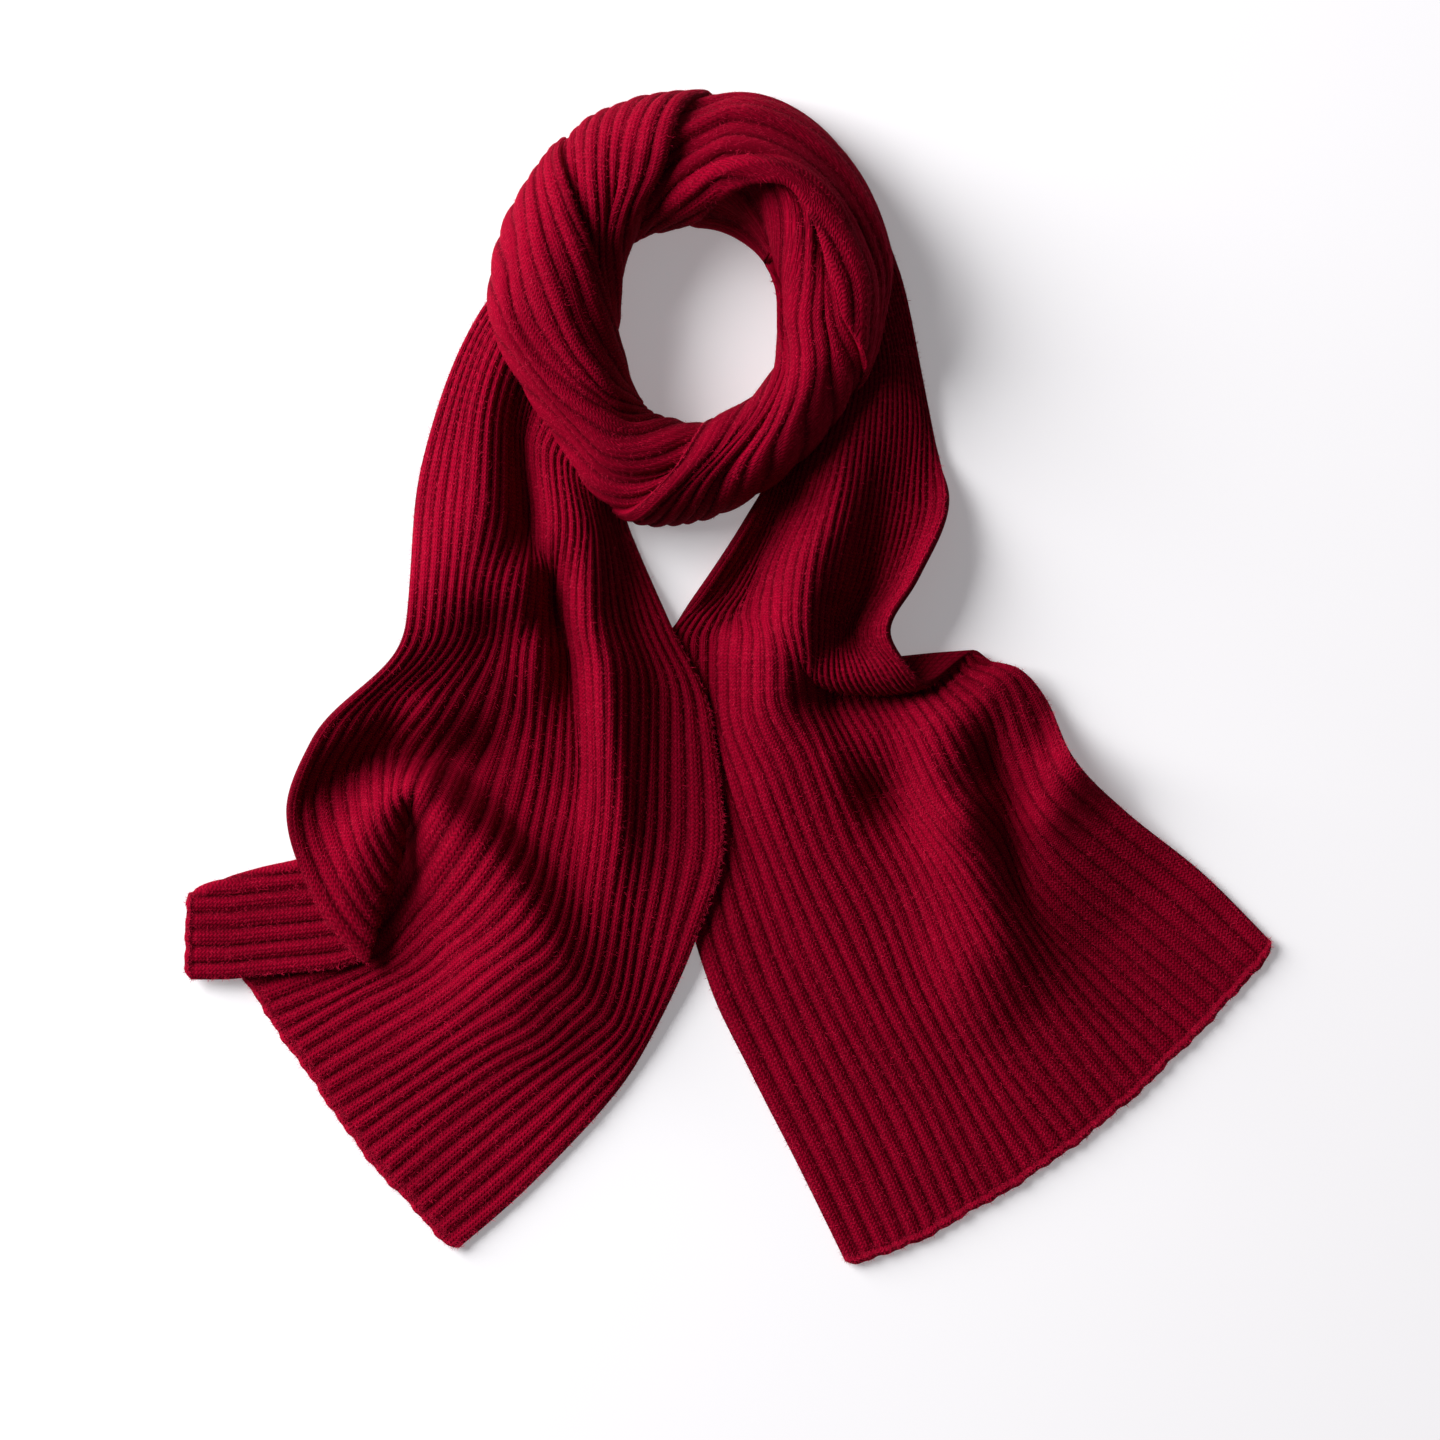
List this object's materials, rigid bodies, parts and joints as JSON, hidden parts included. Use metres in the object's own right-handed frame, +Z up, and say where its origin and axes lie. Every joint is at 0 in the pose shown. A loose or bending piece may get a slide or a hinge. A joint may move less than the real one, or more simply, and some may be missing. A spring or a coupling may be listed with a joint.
{
  "type": "knit scarf",
  "caption": "Long ribbed knit scarf laid flat: wound once round a neck hole, two loose tails, one with its corner folded back.",
  "frame": {"origin": "centre of the laid-out scarf's underside, on the surface it lies on", "axes": "+Z up off the surface, +Y from the hems towards the neck hole, +X to the right seen from above"},
  "size_m": [0.6119, 0.6596, 0.0585],
  "materials": {
    "left_tail": "soft rib knit, lightly fuzzy",
    "right_tail": "soft rib knit, lightly fuzzy",
    "left_corner": "soft rib knit, lightly fuzzy",
    "ring_front": "soft rib knit, lightly fuzzy",
    "ring_left": "soft rib knit, lightly fuzzy",
    "ring_top": "soft rib knit, lightly fuzzy",
    "ring_right": "soft rib knit, lightly fuzzy",
    "ring_core": "soft rib knit, lightly fuzzy"
  },
  "bodies": {
    "root": {"left_tail": "left_tail", "right_tail": "right_tail", "left_corner": "left_corner", "ring_front": "ring_front", "ring_left": "ring_left", "ring_top": "ring_top", "ring_right": "ring_right", "ring_core": "ring_core"}
  },
  "joints": []
}
